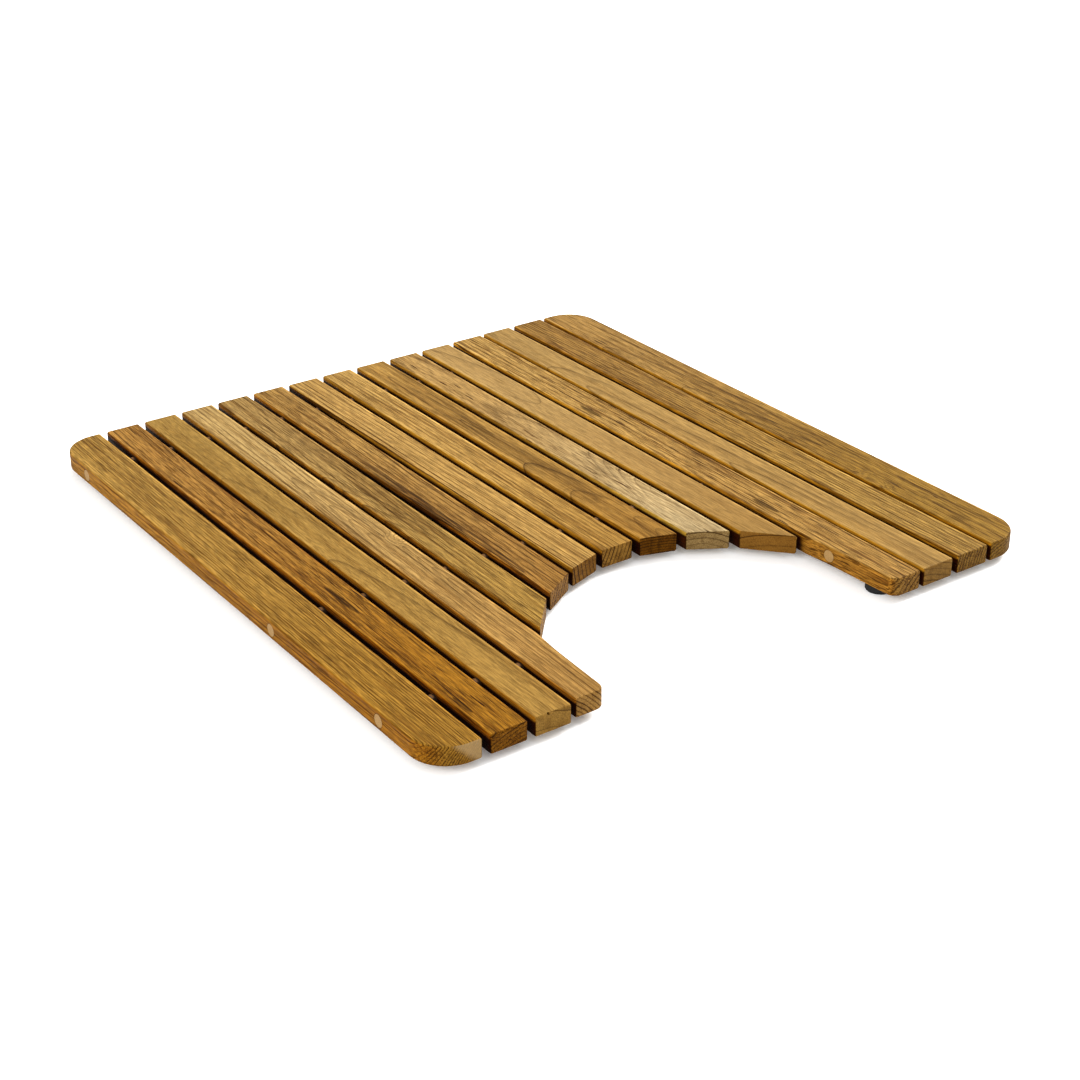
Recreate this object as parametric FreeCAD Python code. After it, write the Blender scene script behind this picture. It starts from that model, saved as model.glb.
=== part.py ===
"""A slatted teak bath mat with a pedestal cut-out, one solid for each physical piece.

Units are millimetres. +X runs across the slats, -Y points to the front, where the cut-out is,
and +Z is up. The origin is on the floor, under the middle of the mat's outline. Everything on
the left (-X) is the mirror image of its partner on the right.
"""
import FreeCAD, Part
import math
import os

# Overall size
MAT_WIDTH = 558.8             # across the slats, 22 in
MAT_LENGTH = 609.6            # along the slats, 24 in

# Slats
SLATS_EACH_SIDE = 7           # to the right of the middle slat, and again to its left
SLAT_THICKNESS = 15.9         # 5/8 in
SLAT_WIDTH = 31.5             # every slat but the two outer ones
SLAT_GAP = 4.9                # drainage gap between neighbours
EDGE_ROUND = 1.8              # easing of the top and bottom edges
END_CORNER = 2.0              # upright corners at the square ends of a slat
MAT_CORNER = 30.0             # the four corners of the whole mat

# Cut-out, for the middle slat and then the next ones outwards: where the slat ends on its own
# centreline, how many degrees its saw cut turns from square, and how far the cut's rim is eased
SAW_CUTS = [(-135.5, 0.0, 1.0), (-141.6, 17.5, 1.0), (-158.8, 31.0, 1.0), (-189.4, 48.2, 0.6)]
# The inner edge of the prong beside the cut-out: (x, y, rounding radius)
PRONG_EDGE = [(129.85, -212.0, 60.0), (132.5, -236.0, 400.0), (135.3, -MAT_LENGTH / 2, 8.5)]

# Dowels, at the middle of the slats' thickness
DOWEL_RADIUS = 5.0
DOWEL_BACK_Y = 246.0
DOWEL_MIDDLE_Y = -82.0
DOWEL_FRONT_Y = -235.0

# Rubber feet
FOOT_RADIUS = 11.0
FOOT_HEIGHT = 6.0
FOOT_BOTTOM_ROUND = 1.5
FOOT_TOP_ROUND = 0.4
FOOT_INSET = 26.2             # from the end of a slat to the foot's centre
RECESS_RADIUS = 4.6           # pocket for the screw head, in the foot's underside
RECESS_DEPTH = 3.2

# Foot screws
SCREW_HEAD_RADIUS = 3.6
SCREW_HEAD_HEIGHT = 2.2
SCREW_HEAD_ROUND = 0.8
SCREW_SHANK_RADIUS = 1.75
SCREW_BITE = 11.0             # depth of the pilot hole in the slat, the screw's point included
SCREW_POINT = 2.5             # length of the tapered point
DRIVE_SLOT_WIDTH = 0.9        # the cross recess in the head
DRIVE_SLOT_LENGTH = 4.2
DRIVE_SLOT_DEPTH = 1.2

# Sizes that follow from those above
PITCH = SLAT_WIDTH + SLAT_GAP
OUTER_SLAT_EDGE = MAT_WIDTH / 2
FRONT_Y = -MAT_LENGTH / 2
BACK_Y = MAT_LENGTH / 2
SLAT_BOTTOM = FOOT_HEIGHT
DOWEL_Z = SLAT_BOTTOM + SLAT_THICKNESS / 2
PRONG_OFFSET = len(SAW_CUTS)            # the first full-length slat, counted from the middle one
UP = FreeCAD.Vector(0, 0, 1)
ACROSS = FreeCAD.Vector(1, 0, 0)
ORIGIN = FreeCAD.Vector(0, 0, 0)

# Feet: (name, slat counted from the middle one, y). The paired ones stand on both halves.
MIDDLE_FEET = [
    ("foot_cutout", 0, SAW_CUTS[0][0] + FOOT_INSET),
    ("foot_back_middle", 0, BACK_Y - FOOT_INSET),
]
PAIRED_FEET = [
    ("foot_front_inner", PRONG_OFFSET, FRONT_Y + FOOT_INSET),
    ("foot_front_outer", SLATS_EACH_SIDE - 1, FRONT_Y + FOOT_INSET),
    ("foot_side", SLATS_EACH_SIDE - 1, 0.0),
    ("foot_back", SLATS_EACH_SIDE - 1, BACK_Y - FOOT_INSET),
]


def mirrored(shape):
    """The same piece on the left-hand half of the mat."""
    return shape.mirror(ORIGIN, ACROSS)


def corner_points(before, corner, after, radius):
    """Start, middle and end of the arc that rounds one corner of an outline."""
    here = FreeCAD.Vector(corner[0], corner[1], 0)
    back = (FreeCAD.Vector(before[0], before[1], 0) - here).normalize()
    ahead = (FreeCAD.Vector(after[0], after[1], 0) - here).normalize()
    half_angle = back.getAngle(ahead) / 2
    reach = radius / math.tan(half_angle)
    bisector = (back + ahead).normalize()
    middle = here + bisector * (radius / math.sin(half_angle) - radius)
    return here + back * reach, middle, here + ahead * reach


def rounded_wire(corners):
    """Closed flat wire through (x, y, radius) corners, rounded by tangent arcs; radius 0 is sharp."""
    count = len(corners)
    arcs = []
    for i in range(count):
        corner = corners[i]
        arcs.append(corner_points(corners[i - 1], corner, corners[(i + 1) % count], corner[2]))
    edges = []
    for i in range(count):
        start, middle, end = arcs[i]
        next_start = arcs[(i + 1) % count][0]
        if corners[i][2] > 0:
            edges.append(Part.Arc(start, middle, end).toShape())
        edges.append(Part.LineSegment(end, next_start).toShape())
    return Part.Wire(edges)


def slat_corners(offset):
    """Outline of a slat, offset slats to the right of the middle one, as (x, y, radius)."""
    inner = offset * PITCH - SLAT_WIDTH / 2
    outer = offset * PITCH + SLAT_WIDTH / 2
    outer_radius = END_CORNER
    if offset == SLATS_EACH_SIDE:
        outer = OUTER_SLAT_EDGE
        outer_radius = MAT_CORNER
    back = [(outer, BACK_Y, outer_radius), (inner, BACK_Y, END_CORNER)]
    if offset < PRONG_OFFSET:
        centre_y, turn = SAW_CUTS[offset][:2]
        slope = math.tan(math.radians(turn)) * SLAT_WIDTH / 2
        return back + [(inner, centre_y + slope, 0), (outer, centre_y - slope, 0)]
    if offset == PRONG_OFFSET:
        return back + PRONG_EDGE + [(outer, FRONT_Y, END_CORNER)]
    return back + [(inner, FRONT_Y, END_CORNER), (outer, FRONT_Y, outer_radius)]


def slat_blank(offset):
    """The slat's outline at full thickness, before its edges are eased and its bores drilled."""
    blank = Part.Face(rounded_wire(slat_corners(offset))).extrude(UP * SLAT_THICKNESS)
    blank.translate(UP * SLAT_BOTTOM)
    return blank


def dowel_rod(start_x, end_x, y):
    """Round rod along X."""
    return Part.makeCylinder(DOWEL_RADIUS, end_x - start_x, FreeCAD.Vector(start_x, y, DOWEL_Z), ACROSS)


def pilot_hole(x, y):
    """Hole for a foot screw in the underside of a slat, with a conical end."""
    straight = SCREW_BITE - SCREW_POINT
    bore = Part.makeCylinder(SCREW_SHANK_RADIUS, straight, FreeCAD.Vector(x, y, SLAT_BOTTOM), UP)
    point_base = FreeCAD.Vector(x, y, SLAT_BOTTOM + straight)
    return bore.fuse(Part.makeCone(SCREW_SHANK_RADIUS, 0, SCREW_POINT, point_base, UP))


def eased_slat(offset):
    """The slat with its edges rounded, before any hole is drilled in it."""
    blank = slat_blank(offset)
    level_edges = [edge for edge in blank.Edges if edge.BoundBox.ZLength < EDGE_ROUND / 2]
    if offset >= PRONG_OFFSET:
        return blank.makeFillet(EDGE_ROUND, level_edges)
    long_edges = [edge for edge in level_edges if edge.BoundBox.YMax > DOWEL_MIDDLE_Y]
    body = blank.makeFillet(EDGE_ROUND, long_edges)
    sawn_face = min(body.Faces, key=lambda face: face.CenterOfMass.y)
    return body.makeFillet(SAW_CUTS[offset][2], sawn_face.Edges)


def slat(offset):
    """One finished slat: eased edges, a bore for each dowel and a pilot hole for each foot."""
    body = eased_slat(offset)
    rows = [DOWEL_BACK_Y, DOWEL_MIDDLE_Y]
    if offset >= PRONG_OFFSET:
        rows.append(DOWEL_FRONT_Y)
    bores = [dowel_rod(-MAT_WIDTH, MAT_WIDTH, y) for y in rows]
    feet = MIDDLE_FEET + PAIRED_FEET
    holes = [pilot_hole(offset * PITCH, y) for name, on_slat, y in feet if on_slat == offset]
    return body.cut(bores + holes)


def front_dowel():
    """The right-hand rod of the front row, sawn flush with the prong's curved inner edge."""
    rod = dowel_rod(PRONG_EDGE[0][0], OUTER_SLAT_EDGE, DOWEL_FRONT_Y)
    prong_side = PRONG_OFFSET * PITCH
    plank_size = (prong_side - PRONG_EDGE[0][0], MAT_LENGTH, SLAT_THICKNESS)
    plank_corner = FreeCAD.Vector(PRONG_EDGE[0][0], FRONT_Y, SLAT_BOTTOM)
    waste = Part.makeBox(*plank_size, plank_corner).cut(slat_blank(PRONG_OFFSET))
    return rod.cut(waste)


def foot(x, y):
    """Rubber disc with a pocket in its underside for the screw head."""
    disc = Part.makeCylinder(FOOT_RADIUS, FOOT_HEIGHT, FreeCAD.Vector(x, y, 0), UP)
    low_rim = [edge for edge in disc.Edges if edge.BoundBox.ZMax < FOOT_HEIGHT / 2]
    disc = disc.makeFillet(FOOT_BOTTOM_ROUND, low_rim)
    high_rim = [edge for edge in disc.Edges if edge.BoundBox.ZMin > FOOT_HEIGHT - FOOT_TOP_ROUND]
    disc = disc.makeFillet(FOOT_TOP_ROUND, high_rim)
    pocket = Part.makeCylinder(RECESS_RADIUS, RECESS_DEPTH, FreeCAD.Vector(x, y, 0), UP)
    bore = Part.makeCylinder(SCREW_SHANK_RADIUS, FOOT_HEIGHT, FreeCAD.Vector(x, y, 0), UP)
    return disc.cut([pocket, bore])


def foot_screw(x, y):
    """Round-headed wood screw driven up through a foot, its head inside the pocket."""
    head_base = RECESS_DEPTH - SCREW_HEAD_HEIGHT
    head_place = FreeCAD.Vector(x, y, head_base)
    head = Part.makeCylinder(SCREW_HEAD_RADIUS, SCREW_HEAD_HEIGHT, head_place, UP)
    crown = [edge for edge in head.Edges if edge.BoundBox.ZMax < RECESS_DEPTH - SCREW_HEAD_ROUND]
    head = head.makeFillet(SCREW_HEAD_ROUND, crown)
    for length, width in [(DRIVE_SLOT_LENGTH, DRIVE_SLOT_WIDTH), (DRIVE_SLOT_WIDTH, DRIVE_SLOT_LENGTH)]:
        slot_corner = FreeCAD.Vector(x - length / 2, y - width / 2, head_base)
        head = head.cut(Part.makeBox(length, width, DRIVE_SLOT_DEPTH, slot_corner))
    shank_length = SLAT_BOTTOM + SCREW_BITE - SCREW_POINT - RECESS_DEPTH
    shank_place = FreeCAD.Vector(x, y, RECESS_DEPTH)
    shank = Part.makeCylinder(SCREW_SHANK_RADIUS, shank_length, shank_place, UP)
    point_place = shank_place + UP * shank_length
    point = Part.makeCone(SCREW_SHANK_RADIUS, 0, SCREW_POINT, point_place, UP)
    return head.fuse([shank, point]).removeSplitter()


def slat_nodes():
    """Every slat by name, numbered from the left."""
    nodes = {}
    middle_number = SLATS_EACH_SIDE + 1
    for offset in range(SLATS_EACH_SIDE + 1):
        right = slat(offset)
        nodes["slat_%02d" % (middle_number + offset)] = right
        if offset > 0:
            nodes["slat_%02d" % (middle_number - offset)] = mirrored(right)
    return nodes


def dowel_nodes():
    """Two full-width dowels, and a front row that the cut-out splits in two."""
    right = front_dowel()
    return {
        "dowel_back": dowel_rod(-OUTER_SLAT_EDGE, OUTER_SLAT_EDGE, DOWEL_BACK_Y),
        "dowel_middle": dowel_rod(-OUTER_SLAT_EDGE, OUTER_SLAT_EDGE, DOWEL_MIDDLE_Y),
        "dowel_front_right": right,
        "dowel_front_left": mirrored(right),
    }


def foot_nodes():
    """Each rubber foot by name, and all their screws as one group."""
    nodes = {}
    screws = []
    for name, offset, y in MIDDLE_FEET:
        nodes[name] = foot(offset * PITCH, y)
        screws.append(foot_screw(offset * PITCH, y))
    for name, offset, y in PAIRED_FEET:
        for side, sign in (("right", 1), ("left", -1)):
            nodes[name + "_" + side] = foot(sign * offset * PITCH, y)
            screws.append(foot_screw(sign * offset * PITCH, y))
    nodes["foot_screws"] = Part.makeCompound(screws)
    return nodes


def main():
    """Write one STEP file for each node."""
    os.makedirs("parts", exist_ok=True)
    nodes = {**slat_nodes(), **dowel_nodes(), **foot_nodes()}
    for name, shape in nodes.items():
        shape.exportStep("parts/%s.step" % name)
        print("%-24s solids %2d  volume %9.1f  valid %s"
              % (name, len(shape.Solids), shape.Volume, shape.isValid()))


main()
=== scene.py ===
"""Looks for the slatted teak bath mat: oiled teak slats, pale dowels, rubber feet and steel screws.

Everything is in metres in the frame of the CAD model: +X runs across the slats, -Y is the front,
where the cut-out is, and +Z is up. Figures marked mm are in millimetres and are scaled by MM.
"""

import math

import bmesh
import bpy
from mathutils import Matrix, Vector

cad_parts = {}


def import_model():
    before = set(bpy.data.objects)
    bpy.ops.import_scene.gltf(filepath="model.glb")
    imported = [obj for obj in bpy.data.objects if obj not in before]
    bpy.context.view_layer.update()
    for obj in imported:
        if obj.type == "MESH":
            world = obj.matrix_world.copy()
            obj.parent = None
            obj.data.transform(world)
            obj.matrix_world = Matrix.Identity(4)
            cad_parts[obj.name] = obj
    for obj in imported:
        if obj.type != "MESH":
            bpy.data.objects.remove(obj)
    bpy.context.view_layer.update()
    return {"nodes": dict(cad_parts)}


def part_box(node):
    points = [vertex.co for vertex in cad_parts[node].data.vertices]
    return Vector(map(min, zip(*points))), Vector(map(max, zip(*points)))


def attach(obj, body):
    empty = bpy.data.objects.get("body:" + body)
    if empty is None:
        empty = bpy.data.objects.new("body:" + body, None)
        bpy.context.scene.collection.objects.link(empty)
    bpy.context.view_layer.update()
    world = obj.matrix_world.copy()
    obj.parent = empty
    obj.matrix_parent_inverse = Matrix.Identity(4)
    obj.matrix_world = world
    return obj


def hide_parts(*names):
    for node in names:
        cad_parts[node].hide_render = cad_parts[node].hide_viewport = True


MM = 0.001

# Camera, rounded from a solver's fit: where it stands, what it looks at, its lens and its roll
CAMERA_PLACE = (-0.8548, -1.2522, 0.7497)
CAMERA_TARGET = (-0.0331, -0.0764, 0.0120)
CAMERA_ROLL = -0.44           # degrees
CAMERA_LENS = 67.2            # mm
CAMERA_SENSOR = 36.0          # width, mm

# Frame sizes that the materials need, mm
SLAT_COUNT = 15
SLAT_PITCH = 36.4             # a gap's middle lies half a pitch from a slat's
DOWEL_RADIUS = 5.0
DOWEL_HEIGHT = 13.95
DOWEL_ROWS = (246.0, -82.0, -235.0)
LEFT_PRONG = 4                # the slats beside the cut-out
RIGHT_PRONG = 12

# Where single slats stray from the drawing, mm: right edge sideways, front and back ends along.
# They are rounded by hand from edges that scratch scripts measured.
RIGHT_EDGES = {1: -1.2, 2: -0.9, 3: -0.8, 4: -0.5, 5: -1.0, 6: -0.6, 7: -0.9, 8: -1.2, 9: -1.1,
               10: -0.8, 11: -0.4, 12: 1.4, 13: -0.3, 14: 1.5}
FRONT_ENDS = {4: 3.5}
BACK_ENDS = {7: -1.0, 8: -1.0, 9: -1.7, 10: -2.2, 11: -2.0, 12: -1.0}
END_REACH = 30.0              # how much of a slat moves with its end, mm
PRONG_BACK = -205.0           # the left prong keeps its nominal edge in front of this, mm
PRONG_WALLS = (-212.0, -203.0)    # behind these the inner walls of both prongs face a slat, mm
FLOOR_REACH = 8.0             # from the mat's middle to each edge of the floor, m
PIN_SLAT = 3                  # the slat with a pin-hole through the top edge of its front end
PIN_ACROSS = -4.6             # from the slat's centre, mm
PIN_INSET = 1.4               # behind the front end and below the top, mm
PIN_RADIUS = 1.2
PIN_DEPTH = 6.0

LINE_WIDTH = 1.5              # the dark porous start of a growth ring, mm

# How many features a noise has in a metre: across the grain, along it, and across it again
SLOW_BENDS = (28, 5.5, 28)
FINE_BENDS = (150, 14, 150)
BANDS = (150, 2.4, 150)
CLOUDS = (30, 7, 30)
HAIRS = (600, 7, 600)
DASHES = (1200, 22, 1200)
FIBRES = (1700, 80, 1700)
FLECKS = (620, 30, 620)

# Colours that the clear wood is multiplied by
TINTS = {
    "streak": "b29a60", "ring line": "604014", "arch": "50340e", "hair": "8a6a34",
    "pore": "6c4e20", "stain": "8f8668", "fleck": "75501c",
    "sawn end": "a89058", "line on end": "6a4c20", "side": "f4dca0",
    # the wall tints and the gap shade are painted shade on the walls between the slats
    "left half wall shade": "f6e4a4", "right half wall shade": "eeeaa4", "gap_shade": "44260e", "seam": "6a4010",
}
SAPWOOD = "8f7650"

# The clear wood takes its back colour behind the first place and its front colour before the second
TONE_BACK = 220.0             # mm
TONE_FRONT = -240.0

# The walls of the gaps carry painted light and shade that change from slat to slat, counted from the left
LAST_LEFT_WALLS = 6           # the last slat whose walls have the redder of the two painted shade tints
WALL_PAINTED_LIGHT = 0.80             # painted light on the walls, and how much each slat adds to it
WALL_PAINTED_LIGHT_STEP = 0.07
UNSHADED_DEPTH = 2.4             # how far down the walls stay free of painted shade, mm, and how much less on each slat
UNSHADED_STEP = 0.045

# How each slat looks, numbered from the left.
#   back, front: colour of the clear wood at the two ends, fitted to averages of the photograph; a
#   scratch script fitted these codes to averages of the photograph, which report.md lists as a rule
#   that is broken
#   ring:        distance between growth rings, mm
#   pith:        the tree's centre, mm across and up from the slat's centre
#   lean:        how fast the pith moves across and up along the slat
#   lines:       darkness of the ring lines; pores: of the short fine dashes; streaks: of broad bands
#   wander:      how far the grain strays from a perfect circle, mm
#   mottle:      how strong the soft clouds of tone are
#   end:         how dark the sawn ends are
#   arches:      nested thin dark arches where rings break the face, as (tip across, tip along, half
#                width, length towards the front, number of arches, darkness); a negative length
#                opens to the back
#   knots:       swirls, as (across, along, width, length, lift of the rings), mm
#   stains_and_nick_shade: dark olive patches, on slat 5 painted shade in two nicks, as (across, along,
#       width, length), mm
#   flecks:      places with large dark dashes, as (across, along, width, length), mm
#   glows:       pale places, as (across, along, width, length, factor), mm
#   sap:         pale sapwood on the front sawn end, as (across, half width), mm
BOARDS = {
    1: dict(back="886830", front="7f5c20", ring=1.7, pith=(75, -45), lean=(0.008, 0.000),
            lines=0.40, pores=0.7, streaks=0.15, wander=1.0, end=0.35, sap=(16, 14)),
    2: dict(back="805c29", front="795112", ring=3.2, pith=(26, -60), lean=(0.020, 0.010),
            lines=0.15, pores=0.8, streaks=0.20, wander=2.0, end=0.60, mottle=0.18,
            stains_and_nick_shade=[(-2, -86, 4, 42), (-10, -262, 3, 20)],
            flecks=[(-2, -90, 7, 50), (-9, -240, 6, 40)]),
    3: dict(back="80632f", front="82632e", ring=12.0, pith=(-10, -55), lean=(0.012, 0.030),
            lines=0.10, pores=0.35, streaks=0.25, wander=2.5, end=0.35,
            arches=[(-14, 152, 24, 150, 1, 0.30), (-14, -26, 26, 190, 1, 0.45)]),
    4: dict(back="947949", front="8d6b38", ring=3.0, pith=(-60, -60), lean=(0.016, 0.008),
            lines=0.40, pores=0.5, streaks=0.35, wander=2.0, end=0.30,
            arches=[(-2, 122, 13, 160, 5, 0.32), (8, -38, 11, 120, 5, 0.30)],
            knots=[(10, -24, 9, 16, 6.0)], glows=[(9, -20, 6, 9, 1.25)]),
    5: dict(back="7f6437", front="83652d", ring=2.6, pith=(50, -60), lean=(0.030, 0.004),
            lines=0.30, pores=0.7, streaks=0.35, wander=1.8, end=0.20,
            arches=[(-26, 125, 36, 170, 5, 0.42)],
            # the two stains on slat 5's left edge are painted shade in two small nicks
            stains_and_nick_shade=[(-17, 190, 3, 9), (-17, 96, 3, 14)], glows=[(-12, 45, 5, 45, 1.22)]),
    6: dict(back="886835", front="7c5826", ring=4.0, pith=(80, -40), lean=(0.016, 0.004),
            lines=0.45, pores=0.8, streaks=0.30, wander=2.0, end=0.25,
            arches=[(-12, -128, 5, -260, 3, 0.65)]),
    7: dict(back="92723d", front="93723b", ring=4.6, pith=(110, 20), lean=(-0.006, 0.000),
            lines=0.90, pores=0.6, streaks=0.25, wander=0.9, end=0.95),
    8: dict(back="96763f", front="84622a", ring=3.6, pith=(-90, 40), lean=(0.008, 0.004),
            lines=0.40, pores=0.6, streaks=0.30, wander=1.2, end=0.50),
    9: dict(back="886833", front="7a5722", ring=2.4, pith=(-2, -96), lean=(0.004, 0.004),
            lines=0.25, pores=0.45, streaks=0.40, wander=2.0, mottle=0.30, end=1.0,
            arches=[(-9, 30, 18, 60, 1, 0.60), (-6, -36, 14, 26, 1, 0.40),
                    (5, -100, 14, 60, 2, 0.30), (-3, 260, 8, 240, 2, 0.45)]),
    10: dict(back="8b6d3e", front="93805c", ring=5.0, pith=(-4, -38), lean=(0.010, -0.030),
             lines=0.25, pores=0.45, streaks=0.15, wander=1.6, end=0.70,
             arches=[(19, 20, 32, 110, 5, 0.35)],
             knots=[(12, -32, 8, 22, 4.0)],
             flecks=[(-7, 60, 6, 70), (-4, -25, 10, 50)], glows=[(2, -75, 16, 70, 1.15)]),
    11: dict(back="886c3f", front="7b5d2f", ring=9.0, pith=(8, -60), lean=(-0.010, -0.020),
             lines=0.08, pores=0.25, streaks=0.15, wander=1.8, end=0.50,
             arches=[(-14, 300, 30, 110, 1, 0.35), (3, 134, 14, -40, 1, 0.35)]),
    12: dict(back="91723d", front="886733", ring=4.2, pith=(70, -50), lean=(0.010, 0.004),
             lines=0.40, pores=0.9, streaks=0.25, wander=1.8, end=0.45,
             stains_and_nick_shade=[(-7, 88, 4, 28), (-5, -150, 5, 30)],
             flecks=[(0, 20, 9, 120), (4, 170, 6, 90), (2, -70, 9, 60)]),
    13: dict(back="84683a", front="856736", ring=5.0, pith=(-20, -75), lean=(0.012, 0.010),
             lines=0.25, pores=0.35, streaks=0.20, wander=1.8, end=0.60,
             arches=[(-14, 200, 22, 80, 1, 0.45), (-12, 140, 19, 420, 2, 0.45)]),
    14: dict(back="7b5c2c", front="856730", ring=2.9, pith=(90, -30), lean=(0.006, 0.002),
             lines=0.60, pores=0.8, streaks=0.35, wander=1.4, end=0.60),
    15: dict(back="806233", front="785a21", ring=3.0, pith=(30, -70), lean=(0.024, 0.006),
             lines=0.20, pores=0.65, streaks=0.22, wander=2.0, end=0.45,
             arches=[(-18, 205, 30, 230, 2, 0.42), (-29, 60, 36, 160, 3, 0.42)],
             knots=[(-13, -165, 10, 30, 4.0)], flecks=[(-12, -60, 8, 60), (0, -200, 16, 60)]),
}


def linear(code):
    """Scene-linear colour with alpha for a six-digit sRGB code."""
    channels = []
    for start in (0, 2, 4):
        value = int(code[start:start + 2], 16) / 255
        if value <= 0.04045:
            channels.append(value / 12.92)
        else:
            channels.append(((value + 0.055) / 1.055) ** 2.4)
    return (*channels, 1.0)


class Graph:
    """One material and short calls that add nodes to it. A value is a number or another node's output."""

    def __init__(self, name):
        self.material = bpy.data.materials.new(name)
        self.material.use_nodes = True
        self.tree = self.material.node_tree
        self.tree.nodes.clear()

    def node(self, kind, inputs, **settings):
        """Add a node, choose its settings, then fill its inputs by name or number."""
        made = self.tree.nodes.new(kind)
        for key, value in settings.items():
            setattr(made, key, value)
        for key, value in inputs.items():
            if isinstance(value, bpy.types.NodeSocket):
                self.tree.links.new(value, made.inputs[key])
            else:
                made.inputs[key].default_value = value
        return made

    def math(self, operation, first, second=0.0):
        return self.node("ShaderNodeMath", {0: first, 1: second}, operation=operation).outputs[0]

    def add(self, first, second):
        return self.math("ADD", first, second)

    def times(self, first, second):
        return self.math("MULTIPLY", first, second)

    def vector(self, operation, first, second):
        made = self.node("ShaderNodeVectorMath", {0: first, 1: second}, operation=operation)
        return made.outputs[0]

    def scale(self, color, factor):
        """color made brighter or darker by a factor."""
        return self.node("ShaderNodeVectorMath", {0: color, 3: factor}, operation="SCALE").outputs[0]

    def combine(self, x, y, z):
        return self.node("ShaderNodeCombineXYZ", {0: x, 1: y, 2: z}).outputs[0]

    def separate(self, value):
        return self.node("ShaderNodeSeparateXYZ", {0: value}).outputs

    def size(self, value):
        return self.math("ABSOLUTE", value)

    def length(self, x, y):
        return self.math("SQRT", self.add(self.times(x, x), self.times(y, y)))

    def noise(self, place, features, detail=2.0):
        """Noise between 0 and 1 with the given numbers of features in a metre along each axis."""
        inputs = {"Vector": self.vector("MULTIPLY", place, features), "Scale": 1.0, "Detail": detail}
        return self.node("ShaderNodeTexNoise", inputs).outputs

    def smooth(self, value, low, high):
        """0 below low, 1 above high, an S-curve between; low may be the larger of the two."""
        inputs = {"Value": value, "From Min": low, "From Max": high}
        return self.node("ShaderNodeMapRange", inputs, interpolation_type="SMOOTHSTEP").outputs[0]

    def ramp(self, value, start, end):
        """start where value is 0, end where it is 1."""
        inputs = {"Value": value, "To Min": start, "To Max": end}
        return self.node("ShaderNodeMapRange", inputs).outputs[0]

    def mix(self, factor, first, second, blend="MIX"):
        inputs = {0: factor, 6: first, 7: second}
        return self.node("ShaderNodeMix", inputs, data_type="RGBA", blend_type=blend).outputs[2]

    def tint(self, factor, color, name):
        """color multiplied by a named tint, as far as factor says."""
        return self.mix(factor, color, linear(TINTS[name]), "MULTIPLY")

    def bump(self, height, distance):
        return self.node("ShaderNodeBump", {"Height": height, "Distance": distance}).outputs[0]

    def finish(self, color, roughness, normal, **constants):
        """The surface itself; constants go straight on the shader's own sockets."""
        inputs = {"Base Color": color, "Roughness": roughness, "Normal": normal}
        for key, value in constants.items():
            inputs[key.replace("_", " ")] = value
        shader = self.node("ShaderNodeBsdfPrincipled", inputs)
        self.node("ShaderNodeOutputMaterial", {"Surface": shader.outputs[0]})
        return self.material


class TeakGraph(Graph):
    """The material of one slat, with the places and directions that its figure is worked out from.

    across, up:         place from the middle of the slat
    along:              place from the middle of the mat
    seeded:             the same place, moved far off for each slat, so that none share their noise
    left, right, top:   where the slat's edges and face are
    end, side:          1 on the sawn ends, and 1 on the long sides
    loose_x, loose_y:   across and along, bent as the grain bends
    out:                distance from the pith
    grain:              place in the tree: out from the pith, along the trunk, around the pith
    """

    def __init__(self, number, node):
        super().__init__("teak_%02d" % number)
        self.number = number
        self.board = BOARDS[number]
        low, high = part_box(node)
        self.middle = (low + high) / 2
        self.left = (low.x - high.x) / 2
        self.right = (high.x - low.x) / 2 + RIGHT_EDGES.get(number, 0.0) * MM
        self.top = (high.z - low.z) / 2
        coordinates = self.node("ShaderNodeTexCoord", {}).outputs
        place = self.vector("SUBTRACT", coordinates["Object"], (self.middle.x, 0.0, self.middle.z))
        self.seeded = self.vector("ADD", place, (0.37 * number, 1.7 * number, 0.91 * number))
        self.across, self.along, self.up = self.separate(place)
        normal_x, self.normal_y, _ = self.separate(coordinates["Normal"])
        self.end = self.smooth(self.size(self.normal_y), 0.35, 0.65)
        self.side = self.smooth(self.size(normal_x), 0.50, 0.90)
        self.find_grain()

    def find_grain(self):
        """Work out where each point of the slat was in the tree."""
        slow = self.noise(self.seeded, SLOW_BENDS)["Color"]
        slow_x, slow_y, slow_z = self.separate(self.vector("SUBTRACT", slow, (0.5, 0.5, 0.5)))
        fine = self.add(self.noise(self.seeded, FINE_BENDS, detail=1.0)["Fac"], -0.5)
        stray = self.board["wander"] * MM * 2
        pith_x, pith_z = self.board["pith"]
        lean_x, lean_z = self.board["lean"]
        from_x = self.add(self.across, self.add(self.times(self.along, -lean_x), -pith_x * MM))
        from_z = self.add(self.up, self.add(self.times(self.along, -lean_z), -pith_z * MM))
        from_x = self.add(from_x, self.times(slow_x, stray))
        from_z = self.add(from_z, self.times(slow_z, stray))
        self.out = self.add(self.length(from_x, from_z), self.times(fine, 0.5 * MM))
        for knot in self.board.get("knots", []):
            swell = bell(self, self.across, self.along, knot)
            self.out = self.add(self.out, self.times(swell, knot[4] * MM))
        around = self.times(self.math("ARCTAN2", from_x, from_z), math.hypot(pith_x, pith_z) * MM)
        trunk = self.combine(self.out, self.along, around)
        shift = (0.53 * self.number, 1.1 * self.number, 0.29 * self.number)
        self.grain = self.vector("ADD", trunk, shift)
        sideways = self.add(self.times(slow_x, stray), self.times(fine, 2 * MM))
        self.loose_x = self.add(self.across, sideways)
        self.loose_y = self.add(self.along, self.times(slow_y, 8 * stray))


def bell(graph, across, along, spot):
    """1 at the middle of an oval spot and 0 outside it."""
    middle_x, middle_y, width, length = [size * MM for size in spot[:4]]
    offset_x = graph.times(graph.add(across, -middle_x), 1 / width)
    offset_y = graph.times(graph.add(along, -middle_y), 1 / length)
    return graph.smooth(graph.length(offset_x, offset_y), 1.0, 0.0)


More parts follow.
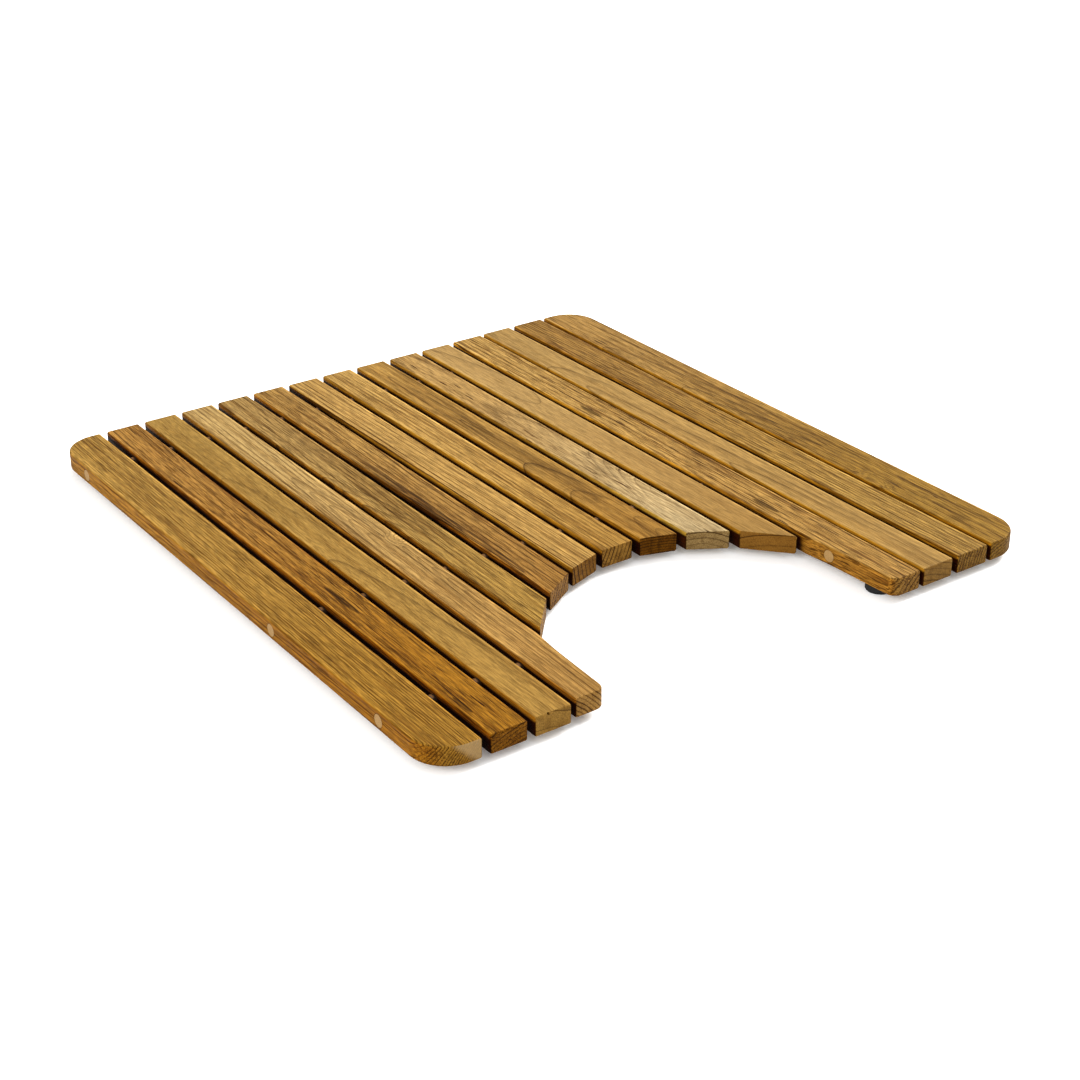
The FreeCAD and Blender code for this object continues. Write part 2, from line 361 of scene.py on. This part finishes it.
def ring_line(wood):
    """1 where a growth ring starts, with a sharp dark porous line that fades into dense clear wood."""
    rings = wood.times(wood.out, 1 / (wood.board["ring"] * MM))
    part = wood.math("FRACT", rings)
    ring_number = wood.add(wood.math("FLOOR", rings), wood.number * 9.7)
    draw = wood.node("ShaderNodeTexWhiteNoise", {"W": ring_number}, noise_dimensions="1D").outputs["Value"]
    width = min(0.45, LINE_WIDTH / wood.board["ring"])
    sharp = wood.times(wood.smooth(part, width, 0.4 * width), wood.smooth(part, 0.0, 0.2 * width))
    tail = wood.math("POWER", wood.math("SUBTRACT", 1.0, part), 2.0)
    return wood.times(wood.add(sharp, wood.times(tail, 0.15)), wood.ramp(draw, 0.35, 1.0))


def arch_lines(wood, arch):
    """Dark lines along nested parabolas that fade inwards, where growth rings break the slat's face."""
    tip_x, tip_y, width, reach = [size * MM for size in arch[:4]]
    count, darkness = arch[4:]
    forward = wood.times(wood.add(wood.loose_y, -tip_y), -1 / reach)
    aside = wood.times(wood.add(wood.loose_x, -tip_x), 1 / width)
    inward = wood.math("SUBTRACT", forward, wood.times(aside, aside))
    steepness = wood.length(wood.times(aside, 2 / width), 1 / abs(reach))
    from_line = wood.add(wood.math("FRACT", wood.add(wood.times(inward, count), 0.5)), -0.5)
    gap = wood.math("DIVIDE", from_line, wood.times(steepness, count))
    line = wood.smooth(wood.size(gap), 1.1 * MM, 0.3 * MM)
    fade = wood.times(wood.smooth(gap, 6.0 * MM, 0.5 * MM), wood.smooth(gap, -0.5 * MM, 0.5 * MM))
    line = wood.math("MAXIMUM", line, wood.times(fade, 0.5))
    line = wood.times(line, wood.smooth(inward, -0.5 / count, -0.4 / count))
    line = wood.times(line, wood.smooth(forward, 1.2, 0.7))
    return wood.times(line, darkness)


def clear_wood(wood, fibre):
    """The slat's own colour from back to front, with soft clouds and the grain of single fibres."""
    board = wood.board
    to_front = wood.smooth(wood.along, TONE_BACK * MM, TONE_FRONT * MM)
    color = wood.mix(to_front, linear(board["back"]), linear(board["front"]))
    cloud = wood.noise(wood.seeded, CLOUDS)["Fac"]
    mottle = board.get("mottle", 0.13)
    color = wood.scale(color, wood.ramp(cloud, 1 - mottle, 1 + 1.25 * mottle))
    contrast = 0.13 + 0.25 * board["pores"]
    light = wood.ramp(wood.smooth(fibre, 0.35, 0.65), 1 - contrast, 1 + 1.2 * contrast)
    return wood.scale(color, light)


def grain_marks(wood, color, band, line, fibre, pore):
    """Darken the streaks, ring lines, arches, long hairs and short pores."""
    board = wood.board
    streak = wood.times(wood.smooth(band, 0.44, 0.64), board["streaks"])
    color = wood.tint(streak, color, "streak")
    color = wood.tint(wood.times(line, board["lines"]), color, "ring line")
    for arch in board.get("arches", []):
        mark = wood.times(arch_lines(wood, arch), wood.ramp(fibre, 0.8, 1.5))
        color = wood.tint(mark, color, "arch")
    hairs = wood.noise(wood.grain, HAIRS, detail=1.0)["Fac"]
    hair = wood.smooth(wood.size(wood.add(hairs, -0.5)), 0.09, 0.02)
    hair = wood.times(hair, wood.ramp(wood.smooth(band, 0.35, 0.60), 0.30, 1.0))
    color = wood.tint(wood.times(hair, 0.80 * board["pores"]), color, "hair")
    return wood.tint(wood.times(pore, 0.75 * board["pores"]), color, "pore")


def local_marks(wood, color, band):
    """Stains, flecks and glows where this slat has them; the stains on slat 5 are painted shade in two
    nicks.
    """
    for stain in wood.board.get("stains_and_nick_shade", []):
        patch = wood.times(bell(wood, wood.across, wood.along, stain), 2.0)
        patch = wood.smooth(wood.add(patch, wood.times(wood.add(band, -0.5), 1.6)), 0.5, 0.9)
        color = wood.tint(wood.times(patch, 0.85), color, "stain")
    for zone in wood.board.get("flecks", []):
        fleck = wood.noise(wood.grain, FLECKS, detail=1.0)["Fac"]
        inside = wood.math("SQRT", bell(wood, wood.across, wood.along, zone))
        dark = wood.smooth(wood.add(fleck, wood.times(inside, 0.12)), 0.70, 0.74)
        color = wood.tint(wood.times(dark, 0.75), color, "fleck")
    for glow in wood.board.get("glows", []):
        color = wood.scale(color, wood.ramp(bell(wood, wood.loose_x, wood.loose_y, glow), 1.0, glow[4]))
    return color


def worn_and_highlit_edges(wood, color):
    """The eased top edges are painted paler: a painted highlight, the right one most, over a little wear.
    """
    rounded = wood.smooth(wood.up, wood.top - 0.7 * MM, wood.top - 0.1 * MM)
    right = wood.smooth(wood.across, wood.right - 2.8 * MM, wood.right - 2.0 * MM)
    left = wood.smooth(wood.across, wood.left + 3.0 * MM, wood.left + 2.2 * MM)
    color = wood.scale(color, wood.ramp(wood.times(right, rounded), 1.0, 1.5))
    return wood.scale(color, wood.ramp(wood.times(left, rounded), 1.0, 1.2))


def ends_and_sides(wood, color, line):
    """End grain drinks more oil, and so do the sides a little; sapwood stays pale."""
    color = wood.tint(wood.times(wood.end, wood.board.get("end", 0.8)), color, "sawn end")
    color = wood.tint(wood.times(wood.times(wood.end, line), 0.7), color, "line on end")
    color = wood.tint(wood.side, color, "side")
    if "sap" in wood.board:
        middle, width = [size * MM for size in wood.board["sap"]]
        from_sap = wood.size(wood.add(wood.loose_x, wood.add(wood.up, -middle)))
        sap = wood.smooth(from_sap, width, 0.4 * width)
        sap = wood.times(sap, wood.smooth(wood.normal_y, -0.35, -0.65))
        color = wood.mix(wood.times(sap, 0.70), color, linear(SAPWOOD))
    return color


def gap_walls(wood):
    """1 on the walls that face a neighbouring slat."""
    right = wood.smooth(wood.across, wood.right - 1.2 * MM, wood.right - 0.4 * MM)
    left = wood.smooth(wood.across, wood.left + 1.2 * MM, wood.left + 0.4 * MM)
    behind_prongs = wood.smooth(wood.along, PRONG_WALLS[0] * MM, PRONG_WALLS[1] * MM)
    if wood.number == 1:
        left = 0.0
    if wood.number == SLAT_COUNT:
        right = 0.0
    if wood.number == LEFT_PRONG:
        right = wood.times(right, behind_prongs)
    if wood.number == RIGHT_PRONG:
        left = wood.times(left, behind_prongs)
    return wood.add(right, left)


def shaded_walls(wood, color):
    """The walls of the gaps get painted shade, golden near the top and dark further down, and painted
    light that grows to the right.
    """
    walls = gap_walls(wood)
    name = "left half wall shade" if wood.number <= LAST_LEFT_WALLS else "right half wall shade"
    color = wood.tint(walls, color, name)
    # painted light: the walls of each slat further right are lit brighter
    light = WALL_PAINTED_LIGHT + WALL_PAINTED_LIGHT_STEP * wood.number
    color = wood.scale(color, wood.ramp(walls, 1.0, light))
    depth = wood.math("SUBTRACT", wood.top, wood.up)
    # painted shade: the walls darken below a depth that shrinks on each slat to the right
    unshaded = (UNSHADED_DEPTH - UNSHADED_STEP * wood.number) * MM
    deep_shade = wood.smooth(depth, unshaded, 2.1 * unshaded)
    return wood.tint(wood.times(walls, deep_shade), color, "gap_shade")


def dowel_seams(wood, color):
    """A dark seam runs round each dowel end on the outer sides and on the prongs."""
    if wood.number in (1, SLAT_COUNT):
        rows = DOWEL_ROWS
    elif wood.number in (LEFT_PRONG, RIGHT_PRONG):
        rows = DOWEL_ROWS[-1:]
    else:
        rows = ()
    rise = wood.add(wood.up, wood.middle.z - DOWEL_HEIGHT * MM)
    for row in rows:
        from_axis = wood.length(wood.add(wood.along, -row * MM), rise)
        seam = wood.smooth(from_axis, (DOWEL_RADIUS + 0.9) * MM, (DOWEL_RADIUS + 0.3) * MM)
        color = wood.tint(wood.times(wood.times(seam, wood.side), 0.6), color, "seam")
    return color


def teak(number, node):
    """Oiled teak for one slat, a solid figure of growth rings, pores and streaks around its pith."""
    wood = TeakGraph(number, node)
    line = ring_line(wood)
    band = wood.noise(wood.grain, BANDS)["Fac"]
    fibre = wood.noise(wood.grain, FIBRES, detail=3.0)["Fac"]
    dashes = wood.noise(wood.grain, DASHES, detail=1.0)["Fac"]
    pore = wood.smooth(wood.add(dashes, wood.times(line, 0.12)), 0.57, 0.62)

    color = clear_wood(wood, fibre)
    color = grain_marks(wood, color, band, line, fibre, pore)
    color = local_marks(wood, color, band)
    color = worn_and_highlit_edges(wood, color)
    color = ends_and_sides(wood, color, line)
    color = shaded_walls(wood, color)
    color = dowel_seams(wood, color)

    height = wood.add(wood.times(line, -0.5), wood.times(pore, -0.8))
    normal = wood.bump(wood.add(height, wood.times(fibre, 0.35)), 0.12 * MM)
    roughness = wood.add(wood.ramp(fibre, 0.46, 0.58), wood.times(pore, 0.15))
    return wood.finish(color, roughness, normal, Specular_IOR_Level=0.03, Specular_Tint=linear("ffd890"))


def dowel_wood():
    """Pale hardwood rod: fibres along X, and on its sawn ends fine pores."""
    graph = Graph("dowel_wood")
    coordinates = graph.node("ShaderNodeTexCoord", {}).outputs
    place = coordinates["Object"]
    fibre = graph.noise(place, (60, 1500, 1500))["Fac"]
    band = graph.noise(place, (8, 300, 300))["Fac"]
    color = graph.mix(band, linear("8f7040"), linear("806133"))
    pores = graph.times(graph.smooth(fibre, 0.5, 0.75), 0.6)
    color = graph.mix(pores, color, linear("a0784a"), "MULTIPLY")

    # Painted shade darkens the rod between slats; a painted highlight lights its top mid-gap; ends
    # unchanged
    normal_x, _, normal_z = graph.separate(coordinates["Normal"])
    side = graph.smooth(graph.size(normal_x), 0.7, 0.3)
    from_gap = graph.math("FRACT", graph.times(graph.separate(place)[0], 1 / (SLAT_PITCH * MM)))
    from_gap = graph.size(graph.add(from_gap, -0.5))
    painted_highlight = graph.smooth(from_gap, 1.5 / SLAT_PITCH, 0.5 / SLAT_PITCH)
    painted_highlight = graph.times(painted_highlight, graph.smooth(normal_z, 0.75, 0.95))
    gap_shade = graph.mix(painted_highlight, linear("3c2a10"), linear("bca070"))
    color = graph.mix(side, color, gap_shade, "MULTIPLY")
    roughness = graph.ramp(fibre, 0.5, 0.65)
    return graph.finish(color, roughness, graph.bump(fibre, 0.1 * MM), Specular_IOR_Level=0.2)


def rubber():
    """Black moulded rubber with a fine grain and dusty patches."""
    graph = Graph("foot_rubber")
    place = graph.node("ShaderNodeTexCoord", {}).outputs["Object"]
    grain = graph.noise(place, (2200, 2200, 2200))["Fac"]
    dust = graph.noise(place, (220, 220, 220), detail=3.0)["Fac"]
    color = graph.mix(graph.smooth(dust, 0.45, 0.8), linear("0b0b0b"), linear("1b1a19"))
    roughness = graph.ramp(dust, 0.5, 0.75)
    return graph.finish(color, roughness, graph.bump(grain, 0.05 * MM), Specular_IOR_Level=0.2)


def steel():
    """Stainless steel with fine turning marks."""
    graph = Graph("screw_steel")
    place = graph.node("ShaderNodeTexCoord", {}).outputs["Object"]
    marks = graph.noise(place, (900, 900, 5200))["Fac"]
    stain = graph.noise(place, (420, 420, 420))["Fac"]
    color = graph.mix(stain, linear("b4b2ac"), linear("8d8a84"))
    roughness = graph.ramp(marks, 0.22, 0.46)
    return graph.finish(color, roughness, graph.bump(marks, 0.03 * MM), Metallic=1.0)


def floor_paint():
    """Plain pale matt floor that glows faintly, so that its shadows stay soft."""
    graph = Graph("floor")
    place = graph.node("ShaderNodeTexCoord", {}).outputs["Object"]
    grain = graph.noise(place, (900, 900, 900), detail=1.0)["Fac"]
    return graph.finish(linear("f8f8f7"), 0.75, graph.bump(grain, 0.02 * MM), Specular_IOR_Level=0.1,
                        Emission_Color=linear("ffffff"), Emission_Strength=0.12)


def shifted(point, number, low, high):
    """A vertex of a slat, moved to where that slat's own edges and ends are."""
    middle = (low.x + high.x) / 2
    aside = max(0.0, (point.x - middle) / (high.x - middle))
    if number != LEFT_PRONG or point.y > PRONG_BACK * MM:
        point.x += aside * RIGHT_EDGES.get(number, 0.0) * MM
    if point.y < low.y + END_REACH * MM:
        point.y += FRONT_ENDS.get(number, 0.0) * MM
    if point.y > high.y - END_REACH * MM:
        point.y += BACK_ENDS.get(number, 0.0) * MM
    return point


def weld(mesh):
    """Join vertices that share a place, so that the mesh is closed."""
    bm = bmesh.new()
    bm.from_mesh(mesh)
    bmesh.ops.remove_doubles(bm, verts=bm.verts, dist=0.001 * MM)
    bm.to_mesh(mesh)
    bm.free()


def add_drill(place, along):
    """A tapered pin of the size of the pin-hole, centred on a place and pointing along a direction."""
    mesh = bpy.data.meshes.new("drill")
    bm = bmesh.new()
    bmesh.ops.create_cone(bm, cap_ends=True, segments=24, radius1=PIN_RADIUS * MM,
                          radius2=0.6 * PIN_RADIUS * MM, depth=PIN_DEPTH * MM)
    bm.to_mesh(mesh)
    bm.free()
    drill = bpy.data.objects.new("drill", mesh)
    turn = Vector(along).to_track_quat("Z", "Y").to_matrix().to_4x4()
    drill.matrix_world = Matrix.Translation(place) @ turn
    bpy.context.scene.collection.objects.link(drill)
    return drill


def cut_pin_hole(piece, low, high):
    """Cut the pin-hole into the top edge of a slat's front end."""
    weld(piece.data)
    across = (low.x + high.x) / 2 + PIN_ACROSS * MM
    place = (across, low.y + PIN_INSET * MM, high.z - PIN_INSET * MM)
    drill = add_drill(place, (0, 1, -0.8))
    cut = piece.modifiers.new("hole", "BOOLEAN")
    cut.object = drill
    cut.solver = "EXACT"
    bpy.context.view_layer.update()
    done = piece.evaluated_get(bpy.context.evaluated_depsgraph_get())
    mesh = bpy.data.meshes.new_from_object(done)
    piece.modifiers.clear()
    piece.data = mesh
    bpy.data.objects.remove(drill)


def add_board(source, number, name):
    """The slat as it is seen: its own edges and ends, in place of the drawn one."""
    low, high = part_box(name)
    mesh = source.data.copy()
    for vertex in mesh.vertices:
        vertex.co = shifted(vertex.co.copy(), number, low, high)
    board = bpy.data.objects.new("board_%02d" % number, mesh)
    bpy.context.scene.collection.objects.link(board)
    if number == PIN_SLAT:
        cut_pin_hole(board, low, high)
    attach(board, "root")
    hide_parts(name)
    return board


def dress(frame):
    """Give every CAD node its material, and stand a finished board in for each slat."""
    shared = {"dowel": dowel_wood(), "foot": rubber(), "foot_screws": steel()}
    for name, piece in frame["nodes"].items():
        kind, rest = name.split("_", 1)
        if kind == "slat":
            material = teak(int(rest), name)
            board = add_board(piece, int(rest), name)
            board.material_slots[0].material = material
        else:
            material = shared.get(name, shared[kind])
        for slot in piece.material_slots:
            slot.material = material


def add_floor():
    mesh = bpy.data.meshes.new("floor")
    reach = FLOOR_REACH
    corners = [(-reach, -reach, 0), (reach, -reach, 0), (reach, reach, 0), (-reach, reach, 0)]
    mesh.from_pydata(corners, [], [(0, 1, 2, 3)])
    floor = bpy.data.objects.new("floor", mesh)
    bpy.context.scene.collection.objects.link(floor)
    mesh.materials.append(floor_paint())


def add_light(name, place, size, power):
    """Square soft box that faces the middle of the mat; its size is in metres, its power in watts."""
    data = bpy.data.lights.new(name, "AREA")
    data.shape = "SQUARE"
    data.size = size
    data.energy = power
    light = bpy.data.objects.new(name, data)
    light.location = place
    light.rotation_euler = (-Vector(place)).to_track_quat("-Z", "Y").to_euler()
    bpy.context.scene.collection.objects.link(light)


def add_lights():
    world = bpy.data.worlds.new("studio")
    world.use_nodes = True
    background = world.node_tree.nodes["Background"]
    background.inputs["Color"].default_value = (1.0, 1.0, 1.0, 1.0)
    background.inputs["Strength"].default_value = 0.85
    bpy.context.scene.world = world
    add_light("key", (3.1, 0.3, 2.6), 2.2, 330)
    add_light("fill", (-3.0, -0.8, 1.6), 2.4, 110)


def add_camera():
    data = bpy.data.cameras.new("camera")
    data.lens = CAMERA_LENS
    data.sensor_width = CAMERA_SENSOR
    camera = bpy.data.objects.new("camera", data)
    bpy.context.scene.collection.objects.link(camera)
    ahead = Vector(CAMERA_TARGET) - Vector(CAMERA_PLACE)
    turn = ahead.to_track_quat("-Z", "Y").to_matrix().to_4x4()
    roll = Matrix.Rotation(math.radians(CAMERA_ROLL), 4, "Z")
    camera.matrix_world = Matrix.Translation(CAMERA_PLACE) @ turn @ roll
    bpy.context.scene.camera = camera


def main():
    """Dress the frame, then add the stage, the lights and the camera."""
    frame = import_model()
    bpy.context.scene.view_settings.view_transform = "Standard"
    dress(frame)
    add_floor()
    add_lights()
    add_camera()


main()
